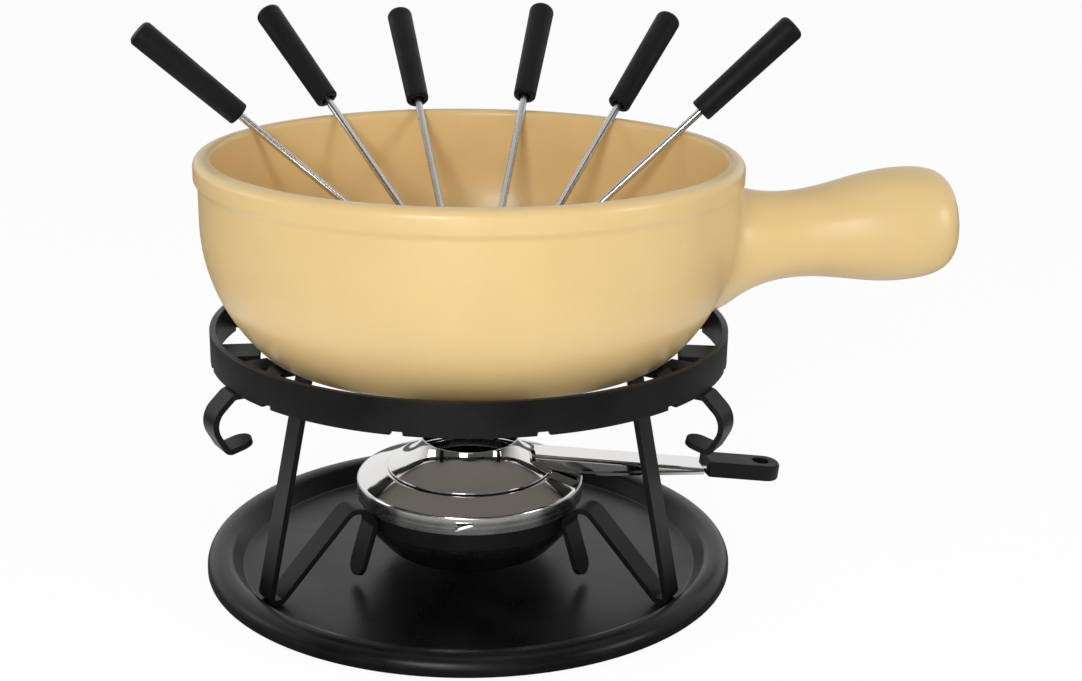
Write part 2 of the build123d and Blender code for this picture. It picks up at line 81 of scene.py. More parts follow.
# ---------------------------------------------------------------- outlines
def rounded(corners, radii):
    """Turn the inner corners of a polyline into arcs of the given radii."""
    points = [Vector(corners[0])]
    for before, corner, after, radius in zip(corners, corners[1:], corners[2:], radii):
        corner = Vector(corner)
        back = (Vector(before) - corner).normalized()
        ahead = (Vector(after) - corner).normalized()
        half = back.angle(ahead) / 2
        centre = corner + (back + ahead).normalized() * radius / sin(half)
        start = corner + back * radius / tan(half) - centre
        end = corner + ahead * radius / tan(half) - centre
        steps = max(3, ceil(degrees(start.angle(end)) / 8))
        points += [centre + radius * start.slerp(end, k / steps) for k in range(steps + 1)]
    points.append(Vector(corners[-1]))
    return points


def evenly(points, spacing):
    """Divide the long runs of an outline, so that no edge is longer than the spacing."""
    divided = [points[0]]
    for start, end in zip(points, points[1:]):
        pieces = max(1, ceil((end - start).length / spacing))
        divided += [start.lerp(end, k / pieces) for k in range(1, pieces + 1)]
    return divided


def arc(centre, radius, start, end, step=3.0):
    """Points of an arc between two angles in degrees."""
    pieces = max(2, ceil(abs(end - start) / step))
    angles = [radians(start + (end - start) * k / pieces) for k in range(pieces + 1)]
    return [Vector((centre[0] + radius * cos(a), centre[1] + radius * sin(a))) for a in angles]


def curve(start, start_pull, end_pull, end, points=14):
    """Points of one Bezier curve."""
    return interpolate_bezier(*(Vector(p) for p in (start, start_pull, end_pull, end)), points)


# ---------------------------------------------------------------- meshes
def lathe(outline, steps, closed=False):
    """Spin an outline of radius and height round +Z."""
    mesh = bmesh.new()
    verts = [mesh.verts.new((point[0], 0, point[1])) for point in outline]
    edges = [mesh.edges.new(pair) for pair in zip(verts, verts[1:])]
    if closed:
        edges.append(mesh.edges.new((verts[-1], verts[0])))
    bmesh.ops.spin(
        mesh, geom=verts + edges, axis=(0, 0, 1), cent=(0, 0, 0), angle=2 * pi, steps=steps,
        use_merge=True,
    )
    bmesh.ops.remove_doubles(mesh, verts=mesh.verts, dist=0.002)
    bmesh.ops.recalc_face_normals(mesh, faces=mesh.faces)
    return mesh


def spin_about(mesh, degrees_round, geom=None):
    """Turn a mesh, or some of its vertices, round +Z."""
    turn = Matrix.Rotation(radians(degrees_round), 3, "Z")
    bmesh.ops.rotate(mesh, verts=geom or mesh.verts, cent=(0, 0, 0), matrix=turn)


def merged_copy(node):
    """Copy a CAD node's mesh in millimetres, with its loose triangles joined."""
    mesh = bmesh.new()
    mesh.from_mesh(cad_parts[node].data)
    bmesh.ops.remove_doubles(mesh, verts=mesh.verts, dist=1e-6)
    bmesh.ops.dissolve_limit(
        mesh, angle_limit=radians(0.5), verts=mesh.verts, edges=mesh.edges,
    )
    bmesh.ops.scale(mesh, verts=mesh.verts, vec=(1 / MM,) * 3)
    return mesh


def make_piece(mesh, name, finish, body, replaced, sharp=None):
    """Write a bmesh to a new object that rides on a body and stands for CAD nodes."""
    bmesh.ops.scale(mesh, verts=mesh.verts, vec=(MM,) * 3)
    data = bpy.data.meshes.new(name)
    mesh.to_mesh(data)
    mesh.free()
    data.polygons.foreach_set("use_smooth", [True] * len(data.polygons))
    if sharp is not None:
        data.set_sharp_from_angle(angle=radians(sharp))
    data.materials.append(finish)
    piece = bpy.data.objects.new(name, data)
    bpy.context.scene.collection.objects.link(piece)
    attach(piece, body)
    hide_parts(*replaced)
    return piece


def thicken(piece, sheet):
    """Give a surface the thickness of its sheet, half to each side."""
    modifier = piece.modifiers.new("sheet", "SOLIDIFY")
    modifier.thickness = sheet * MM
    modifier.offset = 0.0
    modifier.use_even_offset = True


def round_edges(piece, width, angle=40.0, segments=3):
    """Round a piece's edges that are sharper than an angle."""
    modifier = piece.modifiers.new("edges", "BEVEL")
    modifier.width = width * MM
    modifier.segments = segments
    modifier.limit_method = "ANGLE"
    modifier.angle_limit = radians(angle)
    modifier.harden_normals = True


def even_shading(piece):
    """Let large flat faces set the shading beside small rounds."""
    modifier = piece.modifiers.new("shading", "WEIGHTED_NORMAL")
    modifier.keep_sharp = True


# ---------------------------------------------------------------- shader maths
class Wire:
    """A shader socket that can be used in an arithmetic expression."""

    def __init__(self, finish, socket):
        self.finish = finish
        self.socket = socket

    def maths(self, operation, *values):
        return self.finish.node("Math", {"operation": operation}, dict(enumerate(values)))

    def __add__(self, other):
        return self.maths("ADD", self, other)

    def __sub__(self, other):
        return self.maths("SUBTRACT", self, other)

    def __rsub__(self, other):
        return self.maths("SUBTRACT", other, self)

    def __mul__(self, other):
        return self.maths("MULTIPLY", self, other)

    def above(self, level):
        return self.maths("GREATER_THAN", self, level)

    __radd__ = __add__
    __rmul__ = __mul__


class Finish:
    """A procedural material, whose patterns lie on Object coordinates."""

    def __init__(self, name, tree=None, **sockets):
        if tree is None:
            self.material = bpy.data.materials.new(name + FINISH)
            self.material.use_nodes = True
            tree = self.material.node_tree
            self.shader = tree.nodes["Principled BSDF"]
        self.tree = tree
        for socket, value in sockets.items():
            self.feed(socket.replace("_", " "), value)

    def node(self, kind, settings=None, sockets=None, output=0):
        """Add a node, set it up, feed its sockets and return one output."""
        node = self.tree.nodes.new("ShaderNode" + kind)
        for key, value in (settings or {}).items():
            setattr(node, key, value)
        for key, value in (sockets or {}).items():
            self.connect(node.inputs[key], value)
        return Wire(self, node.outputs[output])

    def connect(self, socket, value):
        if isinstance(value, Wire):
            self.tree.links.new(value.socket, socket)
        else:
            socket.default_value = value

    def feed(self, socket, value):
        """Set one socket of the surface shader."""
        self.connect(self.shader.inputs[socket], value)

    def place(self, stretch=(1.0, 1.0, 1.0)):
        """Object coordinates, stretched along the axes."""
        position = self.node("TexCoord", output="Object")
        if tuple(stretch) == (1.0, 1.0, 1.0):
            return position
        return self.node("Mapping", None, {"Vector": position, "Scale": stretch})

    def noise(self, per_metre, detail=3.0, stretch=(1.0, 1.0, 1.0), roughness=0.55):
        """Noise from 0 to 1, with so many lumps in a metre."""
        sockets = {
            "Vector": self.place(stretch), "Scale": per_metre, "Detail": detail,
            "Roughness": roughness,
        }
        return self.node("TexNoise", None, sockets, "Fac")

    def ramp(self, factor, low, high, start=0.0, end=1.0):
        """Take a factor between two places to a level between low and high."""
        sockets = {"Value": factor, "From Min": start, "From Max": end, "To Min": low, "To Max": high}
        return self.node("MapRange", {"clamp": True}, sockets)

    def blend(self, factor, first, second):
        """Mix two colours."""
        first = first if isinstance(first, Wire) else (*first, 1.0)
        second = second if isinstance(second, Wire) else (*second, 1.0)
        sockets = {0: factor, 6: first, 7: second}
        return self.node("Mix", {"data_type": "RGBA"}, sockets, 2)

    def bump(self, height, depth):
        """Feed the normal from a height, as deep as the given millimetres."""
        normal = self.node("Bump", None, {"Height": height, "Distance": depth * MM, "Strength": 1.0})
        self.feed("Normal", normal)


def cream_glaze(look, foot):
    """Satin cream yellow glaze with a faint mottle and iron specks, bare under a height in metres."""
    finish = Finish("cream_glaze", Coat_Roughness=0.12, Specular_IOR_Level=0.5)
    height = finish.node("SeparateXYZ", None, {"Vector": finish.place()}, "Z")
    uneven = finish.noise(90.0, 3.0) * 0.0012
    glazed = finish.ramp(height - uneven, 0.0, 1.0, foot, foot + 0.0006)
    finish.feed("Coat Weight", 0.12 * glazed)
    mottle = finish.noise(26.0, 4.0)
    base = finish.blend(
        finish.ramp(mottle, 0.0, 1.0, 0.36, 0.64),
        [level * 0.965 for level in look.glaze_colour], look.glaze_colour,
    )
    cells = finish.node("TexVoronoi", None, {"Vector": finish.place(), "Scale": 130.0}, "Distance")
    chosen = finish.noise(41.0, 1.0).above(0.69)
    speck = finish.ramp(cells, 1.0, 0.0, 0.03, 0.07) * chosen
    base = finish.blend(speck * 0.6, base, look.speck_colour)
    finish.feed("Base Color", finish.blend(glazed, look.foot_colour, base))
    gloss = finish.ramp(finish.noise(60.0, 3.0), 0.30, 0.40)
    finish.feed("Roughness", gloss + (1 - glazed) * 0.45)
    finish.bump(finish.noise(420.0, 2.0) + 0.6 * finish.noise(95.0, 2.0), 0.035)
    return finish.material


def black_coat(name, look, roughness, grain, depth):
    """Black powder coat or enamel: fine grain, slightly uneven gloss."""
    finish = Finish(name, Specular_IOR_Level=0.22)
    patches = finish.noise(34.0, 4.0)
    dusting = finish.noise(grain * 2.2, 2.0)
    light = [level * 2.0 + 0.002 for level in look.coat_colour]
    shade = finish.ramp(patches * 0.6 + dusting * 0.4, 0.0, 1.0, 0.40, 0.64)
    finish.feed("Base Color", finish.blend(shade, look.coat_colour, light))
    finish.feed("Roughness", finish.ramp(patches, roughness - 0.05, roughness + 0.07, 0.3, 0.7))
    finish.bump(finish.noise(grain, 3.0, roughness=0.65), depth)
    return finish.material


def chrome_plate(look, brushed_below):
    """Bright chrome, with brushing round the burner on what lies below a height in metres."""
    finish = Finish("burner_chrome", Metallic=1.0)
    height = finish.node("SeparateXYZ", None, {"Vector": finish.place()}, "Z")
    brushed = 1 - height.above(brushed_below)
    lines = finish.noise(160.0, 4.0, (0.06, 0.06, 14.0))
    smears = finish.noise(46.0, 3.0)
    polish = finish.ramp(smears, 0.045, 0.10, 0.35, 0.7)
    finish.feed("Roughness", polish + brushed * finish.ramp(lines, 0.10, 0.22, 0.3, 0.7))
    dull = [level * 0.9 for level in look.chrome_colour]
    finish.feed("Base Color", finish.blend(brushed * lines, look.chrome_colour, dull))
    finish.bump(lines * brushed + 0.15 * smears, 0.012)
    return finish.material


def steel(name, colour, roughness, stretch, depth=0.008):
    """Steel with fine lines, drawn out by how far the pattern is stretched."""
    finish = Finish(name, Metallic=1.0)
    lines = finish.noise(900.0, 3.0, stretch)
    finish.feed("Base Color", finish.blend(lines, [level * 0.94 for level in colour], colour))
    finish.feed("Roughness", finish.ramp(lines, roughness - 0.03, roughness + 0.05, 0.3, 0.7))
    finish.bump(lines, depth)
    return finish.material


def moulded_plastic(name, look, grain=1500.0, depth=0.03):
    """Black moulded plastic with a fine spark-eroded grain."""
    finish = Finish(name, Specular_IOR_Level=0.22)
    spots = finish.noise(grain, 3.0, roughness=0.7)
    wear = finish.noise(70.0, 3.0)
    light = [level * 1.8 for level in look.plastic_colour]
    shade = finish.ramp(spots, 0.0, 1.0, 0.4, 0.7)
    finish.feed("Base Color", finish.blend(shade, look.plastic_colour, light))
    finish.feed("Roughness", finish.ramp(wear, 0.46, 0.60, 0.3, 0.7))
    finish.bump(spots, depth)
    return finish.material


def wick_fibre():
    """Pale absorbent fibre."""
    finish = Finish("wick_fibre", Roughness=0.95)
    fuzz = finish.noise(800.0, 4.0)
    finish.feed("Base Color", finish.blend(fuzz, (0.62, 0.58, 0.50), (0.82, 0.79, 0.72)))
    finish.bump(fuzz, 0.2)
    return finish.material


def finish_of(name, maker, *values):
    """The material of that name, made the first time it is asked for."""
    return bpy.data.materials.get(name + FINISH) or maker(*values)


def coat_of(name, look, roughness, grain, depth):
    """The black coat of that name."""
    return finish_of(name, black_coat, name, look, roughness, grain, depth)


def stand_coat(look):
    """The powder coat that the ring and the legs share."""
    return coat_of("stand_black", look, 0.42, 900.0, 0.03)


def burner_chrome(look):
    """The chrome that the cover, hood and arm share."""
    return finish_of("burner_chrome", chrome_plate, look, BRUSHED_BELOW)


def cup_metal():
    """The plain steel that the cup, gauze and rivet share."""
    return finish_of("cup_steel", steel, "cup_steel", (0.55, 0.55, 0.56), 0.30, (1.0, 1.0, 0.1))


# ---------------------------------------------------------------- settings
def colour_setting(name, description, default):
    return FloatVectorProperty(
        name=name, description=description, default=default, min=0.0, max=1.0, subtype="COLOR",
    )


def length_setting(name, description, millimetres):
    """A length in metres, given here in millimetres."""
    return FloatProperty(
        name=name, description=description, default=millimetres * MM, unit="LENGTH", min=0.0,
        precision=5,
    )


def angle_setting(name, description, default):
    return FloatProperty(
        name=name, description=description, default=radians(default), subtype="ANGLE",
    )


class FondueFinishSettings(PropertyGroup):
    glaze_colour: colour_setting("Glaze", "Colour of the pot's glaze", (0.93, 0.665, 0.30))
    foot_colour: colour_setting("Foot", "Colour of the unglazed underside", (0.78, 0.735, 0.665))
    speck_colour: colour_setting("Specks", "Colour of the glaze's iron specks", (0.25, 0.12, 0.04))
    coat_colour: colour_setting("Coat", "Black of the stand, tray and burner", (0.0042, 0.0042, 0.0045))
    chrome_colour: colour_setting("Chrome", "Tint of the chrome plate", (0.74, 0.73, 0.715))
    steel_colour: colour_setting("Steel", "Tint of the forks' steel", (0.66, 0.66, 0.67))
    plastic_colour: colour_setting("Plastic", "Black of the grips", (0.0055, 0.0055, 0.0060))


class FonduePotSettings(PropertyGroup):
    rim_radius: length_setting("Rim radius", "Outside of the lip", 120.0)
    lip_step: length_setting("Lip step", "How far the lip stands out", 1.8)
    lip_height: length_setting("Lip height", "Height of the lip band", 11.0)
    wall: length_setting("Wall", "Thickness of the wall", 6.0)
    floor: length_setting("Floor", "Thickness of the floor", 6.5)
    shoulder: length_setting("Shoulder", "Height where the straight wall ends", 165.0)
    bowl_radius: length_setting("Bowl", "Radius of the bowl's side in section", 76.0)
    handle_rise: angle_setting("Handle rise", "Slope of the handle", 6.0)
    handle_length: length_setting("Handle length", "From its root to its end", 108.6)
    blend_rounds: IntProperty(
        name="Root blending", description="Smoothing passes where the handle joins", default=10, min=0,
    )


class FondueStandSettings(PropertyGroup):
    tray_sheet: length_setting("Tray sheet", "Thickness of the tray", 1.2)
    ring_sheet: length_setting("Ring sheet", "Thickness of the ring", 3.0)
    strip_sheet: length_setting("Strip sheet", "Thickness of a leg", 2.5)
    strip_width: length_setting("Strip width", "Width of a leg", 12.0)


class FondueBurnerSettings(PropertyGroup):
    sheet: length_setting("Sheet", "Thickness of the chrome sheet", 0.9)
    bowl_sheet: length_setting("Bowl sheet", "Thickness of the bowl", 0.8)


class FondueStageSettings(PropertyGroup):
    lens: FloatProperty(name="Lens", description="Focal length in millimetres", default=54.5)
    pitch: angle_setting("Pitch", "How far the camera looks down", 17.10)
    yaw: angle_setting("Yaw", "How far the camera looks to the side", 2.58)
    roll: angle_setting("Roll", "How far the camera leans", 0.93)
    eye: FloatVectorProperty(
        name="Eye", description="Where the camera stands", default=(0.0, -0.7116, 0.3256),
        unit="LENGTH", precision=4,
    )
    backdrop: colour_setting("Backdrop", "Colour of the background", (1.0, 1.0, 1.0))
    fill: FloatProperty(name="Fill", description="Strength of the light from all round", default=0.75)
    room: FloatProperty(name="Room", description="Brightness of the dark room in front", default=0.09)
    key: FloatProperty(name="Key", description="Power of the key softbox", default=7.0, unit="POWER")


# ---------------------------------------------------------------- tray
class FONDUE_OT_tray(Operator):
    """Make the round tray: flat floor, sloping shoulder and a lip rolled down outside"""

    bl_idname = "fondue.tray"
    bl_label = "Tray"

    def execute(self, context):
        sheet = context.scene.fondue_stand.tray_sheet / MM
        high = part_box("tray")[1] / MM
        outer = high.x - sheet / 2
        top = high.z - sheet / 2
        lip_width, floor_radius, lip_foot = 9.6, 105.5, 1.6
        shoulder = outer - lip_width
        outline = rounded(
            [
                (0, sheet / 2), (floor_radius, sheet / 2), (shoulder, top), (outer, top),
                (outer, lip_foot),
            ],
            (2.5, 5.0, 5.4),
        )
        mesh = lathe(evenly(outline, 9.0), 160)
        finish = coat_of("tray_black", context.scene.fondue_finish, 0.30, 520.0, 0.018)
        piece = make_piece(mesh, "tray_dish", finish, "tray", ["tray"])
        thicken(piece, sheet)
        round_edges(piece, 0.3)
        return {"FINISHED"}


# ---------------------------------------------------------------- stand
RING_STEPS = 300


class FONDUE_OT_stand_ring(Operator):
    """Make the stand's band with its notches, and the tabs bent in under the pot"""

    bl_idname = "fondue.stand_ring"
    bl_label = "Stand ring"

    def execute(self, context):
        sheet = context.scene.fondue_stand.ring_sheet / MM
        low, high = (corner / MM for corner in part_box("stand_ring"))
        middle = high.x - sheet / 2
        notch = 1.6
        heights = (low.z, low.z + notch, (low.z + high.z) / 2, high.z)
        mesh = lathe([(middle, height) for height in heights], RING_STEPS)
        self.cut_notches(mesh, low.z + notch / 2)
        height = low.z + sheet / 2
        wide, wide_reach, leg_slot = 52.0, 88.0, 23.0
        narrow, narrow_reach, narrow_turn = 20.0, 94.0, 24
        for azimuth in LEGS.values():
            self.add_tab(mesh, azimuth, middle, height, wide, wide_reach, leg_slot)
            self.add_tab(mesh, azimuth + 60, middle, height, wide, wide_reach)
            self.add_tab(mesh, azimuth + narrow_turn, middle, height, narrow, narrow_reach)
            self.add_tab(mesh, azimuth - narrow_turn, middle, height, narrow, narrow_reach)
        finish = stand_coat(context.scene.fondue_finish)
        piece = make_piece(mesh, "ring_band", finish, "stand", ["stand_ring"], 30)
        thicken(piece, sheet)
        round_edges(piece, 0.6)
        return {"FINISHED"}

    def cut_notches(self, mesh, height):
        """Take the lowest row of the band away for one notch each side of every wide tab."""
        step = 360 / RING_STEPS
        notch_turn = 14.4     # degrees from a wide tab's middle to its notches
        gone = []
        for face in mesh.faces:
            centre = face.calc_center_median()
            azimuth = degrees(Vector((1, 0)).angle_signed(centre.xy, 0.0))
            from_tab = abs(azimuth % 60 - 30)
            if centre.z < height + 0.1 and abs(from_tab - notch_turn) < step:
                gone.append(face)
        bmesh.ops.delete(mesh, geom=gone, context="FACES")

    def add_tab(self, mesh, azimuth, middle, height, width, reach, slot=0.0):
        """Add one flat tab as a single face, with a slot for a leg where one is asked for."""
        half = width / 2
        outer = middle - 1.0
        across = [half * (2 * k / 8 - 1) for k in range(9)]
        outline = [(sqrt(outer**2 - y**2), y) for y in across] + [(reach, half)]
        if slot:
            slot_end = 109.0
            outline += [(reach, slot / 2), (slot_end, slot / 2), (slot_end, -slot / 2), (reach, -slot / 2)]
        outline.append((reach, -half))
        verts = [mesh.verts.new((x, y, height)) for x, y in outline]
        mesh.faces.new(verts)
        spin_about(mesh, azimuth, verts)


class FONDUE_OT_legs(Operator):
    """Bend the three legs, each from one flat strip: hooks, shelf, pad, foot and cradle"""

    bl_idname = "fondue.legs"
    bl_label = "Legs"

    def execute(self, context):
        settings = context.scene.fondue_stand
        sheet = settings.strip_sheet / MM
        width = settings.strip_width / MM
        slope = radians(44)    # of the cradle that the burner's skirt rests on
        seat = Vector((SKIRT_RADIUS + sheet / 2 * sin(slope), 32.9 - sheet / 2 * cos(slope)))
        along = Vector((cos(slope), sin(slope)))
        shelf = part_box("stand_ring")[0].z / MM - sheet / 2
        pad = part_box("pot")[0].z / MM - 0.3 - sheet / 2
        foot = 1.5 + sheet / 2
        corners = [
            (107.5, 79.6), (119.8, 76.4), (127.4, 90.5), (116.5, shelf), (101.5, shelf),
            (94.0, pad), (81.3, pad), (103.4, foot), (98.0, foot),
            seat + 11.2 * along, seat - 2.6 * along, (59.6, 4.4),
        ]
        end_round = 5.8
        bends = (2.5, 10.0, 3.0, 3.0, 3.0, 4.0, 2.0, 2.0, 6.0, 5.0)
        outline = rounded(corners, bends)
        finish = stand_coat(context.scene.fondue_finish)
        for node, azimuth in LEGS.items():
            mesh = self.strip(outline, width, end_round)
            spin_about(mesh, azimuth)
            piece = make_piece(mesh, node + "_strip", finish, "stand", [node], 60)
            thicken(piece, sheet)
            round_edges(piece, 0.45, 50.0)
        return {"FINISHED"}

    def strip(self, outline, width, end_round):
        """Extrude the bent line to a strip and round its two ends."""
        outline = self.end_points(outline, end_round)
        outline = self.end_points(outline[::-1], end_round)[::-1]
        mesh = bmesh.new()
        verts = [mesh.verts.new((point[0], 0, point[1])) for point in outline]
        edges = [mesh.edges.new(pair) for pair in zip(verts, verts[1:])]
        grown = bmesh.ops.extrude_edge_only(mesh, edges=edges)["geom"]
        far = [element for element in grown if isinstance(element, bmesh.types.BMVert)]
        bmesh.ops.translate(mesh, verts=far, vec=(0, width, 0))
        bmesh.ops.translate(mesh, verts=mesh.verts, vec=(0, -width / 2, 0))
        ends = (Vector(outline[0]), Vector(outline[-1]))
        for vert in mesh.verts:
            place = Vector((vert.co.x, vert.co.z))
            reach = min((place - end).length for end in ends)
            if reach < end_round:
                inset = end_round - sqrt(end_round**2 - (end_round - reach) ** 2)
                vert.co.y -= inset if vert.co.y > 0 else -inset
        return mesh

    def end_points(self, outline, end_round):
        """Add points to the first run, close together towards its end."""
        start = outline[0]
        along = (outline[1] - start).normalized()
        steps = 10
        places = [end_round * (1 - cos(pi / 2 * k / steps)) for k in range(1, steps + 1)]
        return [start] + [start + along * place for place in places] + list(outline[1:])


# ---------------------------------------------------------------- pot
class FONDUE_OT_pot(Operator):
    """Make the pot: spun bowl and lip, with the spun handle joined and smoothed into it"""

    bl_idname = "fondue.pot"
    bl_label = "Pot"

    def execute(self, context):
        self.read(context.scene.fondue_pot)
        low, high = (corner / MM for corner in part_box("pot"))
        self.base = low.z
        self.rim = high.z
        bowl = self.bowl()
        handle = self.handle()
        mesh = self.join(bowl, handle)
        foot = (self.base + 1.2) * MM
        finish = finish_of("cream_glaze", cream_glaze, context.scene.fondue_finish, foot)
        make_piece(mesh, "pot_glazed", finish, "pot", ["pot"])
        return {"FINISHED"}

    def read(self, settings):
        """Take the settings in millimetres."""
        self.rim_radius = settings.rim_radius / MM
        self.radius = self.rim_radius - settings.lip_step / MM
        self.lip_height = settings.lip_height / MM
        self.wall = settings.wall / MM
        self.floor = settings.floor / MM
        self.shoulder = settings.shoulder / MM
        self.bowl_radius = settings.bowl_radius / MM
        self.rise = settings.handle_rise
        self.length = settings.handle_length / MM
        self.rounds = settings.blend_rounds

    def side(self, radius, bowl_radius, corner_radius, floor):
        """The bowl's side in section, from the shoulder down to the flat of the floor."""
        centre = (radius - bowl_radius, self.shoulder)
        drop = self.shoulder - floor - corner_radius
        turn = asin(drop / (bowl_radius - corner_radius))
        corner = (centre[0] + (bowl_radius - corner_radius) * cos(turn), floor + corner_radius)
        bowl = arc(centre, bowl_radius, 0, -degrees(turn))
        return bowl + arc(corner, corner_radius, -degrees(turn), -90, 8.0)[1:]

    def bowl(self):
        """Spin the wall, the thick lip and the floor."""
        lip_foot = self.rim - self.lip_height
        outer = rounded(
            [
                (self.radius, self.shoulder), (self.radius, lip_foot - 1.2),
                (self.rim_radius, lip_foot + 1.4), (self.rim_radius, self.rim),
                (self.radius - self.wall, self.rim), (self.radius - self.wall, self.shoulder),
            ],
            (3.0, 2.2, 4.0, 2.4),
        )
        outside = self.side(self.radius, self.bowl_radius, 5.4, self.base)
        inside = self.side(
            self.radius - self.wall, self.bowl_radius - self.wall, 14.0, self.base + self.floor,
        )
        ring = [Vector((0, self.base))] + outside[::-1] + outer[1:-1] + inside
        return lathe(evenly(ring + [Vector((0, self.base + self.floor))], 2.6), 256)

    def surface(self, y, z):
        """How far along X the outside of the bowl lies at a place."""
        below = max(self.shoulder - z, 0.0)
        radius = self.radius - self.bowl_radius + sqrt(max(self.bowl_radius**2 - below**2, 0.0))
        return sqrt(max(radius**2 - y**2, 0.0))

    def handle(self):
        """Spin the handle about its own axis and let its root follow the wall from inside."""
        root = HANDLE_ROOT_RADIUS
        cap = [Vector((root * k / 12, 0.0)) for k in range(12)]
        flare = curve((0, root), (5, 24.5), (20, 19.5), (34, 19.5))
        swell = curve((34, 19.5), (52, 19.5), (64, 25.35), (82, 25.35), 22)[1:]
        length = self.length
        end = curve((82, 25.35), (104, 25.35), (length, 19), (length, 0), 20)[1:]
        outline = cap + [Vector((r, x)) for x, r in flare + swell + end]
        mesh = lathe(outline, 72)
        turn = Matrix.Rotation(pi / 2 - self.rise, 4, "Y")
        place = Matrix.Translation(HANDLE_ROOT) @ turn
        flat = [vert for vert in mesh.verts if vert.co.z < 0.01]
        mesh.transform(place)
        for vert in mesh.verts:
            inner = self.surface(vert.co.y, vert.co.z) - self.wall / 2
            if vert.co.x < inner or vert in flat:
                vert.co.x = inner
        return mesh

    def join(self, bowl, handle):
        """Unite the two shapes and smooth the seam between them."""
        made = []
        for name, mesh in (("bowl", bowl), ("handle", handle)):
            data = bpy.data.meshes.new(name)
            mesh.to_mesh(data)
            mesh.free()
            made.append(bpy.data.objects.new(name, data))
            bpy.context.scene.collection.objects.link(made[-1])
        union = made[0].modifiers.new("union", "BOOLEAN")
        union.operation = "UNION"
        union.solver = "EXACT"
        union.object = made[1]
        graph = bpy.context.evaluated_depsgraph_get()
        mesh = bmesh.new()
        mesh.from_mesh(made[0].evaluated_get(graph).to_mesh())
        for piece in made:
            data = piece.data
            bpy.data.objects.remove(piece)
            bpy.data.meshes.remove(data)
        bmesh.ops.remove_doubles(mesh, verts=mesh.verts, dist=0.35)
        for _ in range(self.rounds):
            near = [vert for vert in mesh.verts if self.near_seam(vert.co)]
            bmesh.ops.smooth_vert(
                mesh, verts=near, factor=0.5, use_axis_x=True, use_axis_y=True, use_axis_z=True,
            )
        return mesh

    def near_seam(self, place):
        """True close to the line where the handle meets the wall, but not at the lip or inside."""
        if place.x < 60 or place.z > self.rim - self.lip_height - 1.5:
            return False
        outside = hypot(place.x, place.y) > self.surface(0.0, place.z) - 1.5
        across = place - HANDLE_ROOT
        along = Vector((cos(self.rise), 0, sin(self.rise)))
        off_axis = (across - along * across.dot(along)).length
        return outside and off_axis < 37 and across.dot(along) < 22 and off_axis > 14


# ---------------------------------------------------------------- burner
class FONDUE_OT_burner(Operator):
    """Make the burner's black bowl and collar, and finish the cup, wick and gauze inside"""

    bl_idname = "fondue.burner"
    bl_label = "Burner bowl"

    def execute(self, context):
        look = context.scene.fondue_finish
        sheet = context.scene.fondue_burner.bowl_sheet / MM
        low, high = (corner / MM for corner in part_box("burner_bowl"))
        foot = low.z + sheet / 2
        flange = high.z - sheet / 2
        foot_radius, wall_radius, flange_radius, wall_foot = 37.5, 48.05, 50.6, 20.7
        outline = rounded(
            [
                (0, foot), (foot_radius, foot), (wall_radius, wall_foot), (wall_radius, flange),
                (flange_radius, flange),
            ],
            (9.0, 8.0, 0.8),
        )
        finish = coat_of("bowl_black", look, 0.20, 240.0, 0.010)
        bowl = make_piece(
            lathe(evenly(outline, 5.0), 128), "bowl_black", finish, "burner",
            ["burner_bowl"],
        )
        thicken(bowl, sheet)
        low, high = (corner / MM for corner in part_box("burner_collar"))
        collar_sheet = 1.1
        radius = high.x - collar_sheet / 2
        finish = coat_of("collar_black", look, 0.46, 700.0, 0.02)
        collar = make_piece(
            lathe([(radius, low.z), (radius, (low.z + high.z) / 2), (radius, high.z)], 128),
            "collar_band", finish, "burner", ["burner_collar"],
        )
        thicken(collar, collar_sheet)
        round_edges(collar, 0.35)
        metal = cup_metal()
        self.carry_over("fuel_cup", metal)
        self.carry_over("gauze", metal)
        self.carry_over("wick_pad", finish_of("wick_fibre", wick_fibre))
        return {"FINISHED"}

    def carry_over(self, node, finish):
        """Give a CAD node its finish."""
        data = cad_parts[node].data
        data.materials.clear()
        data.materials.append(finish)


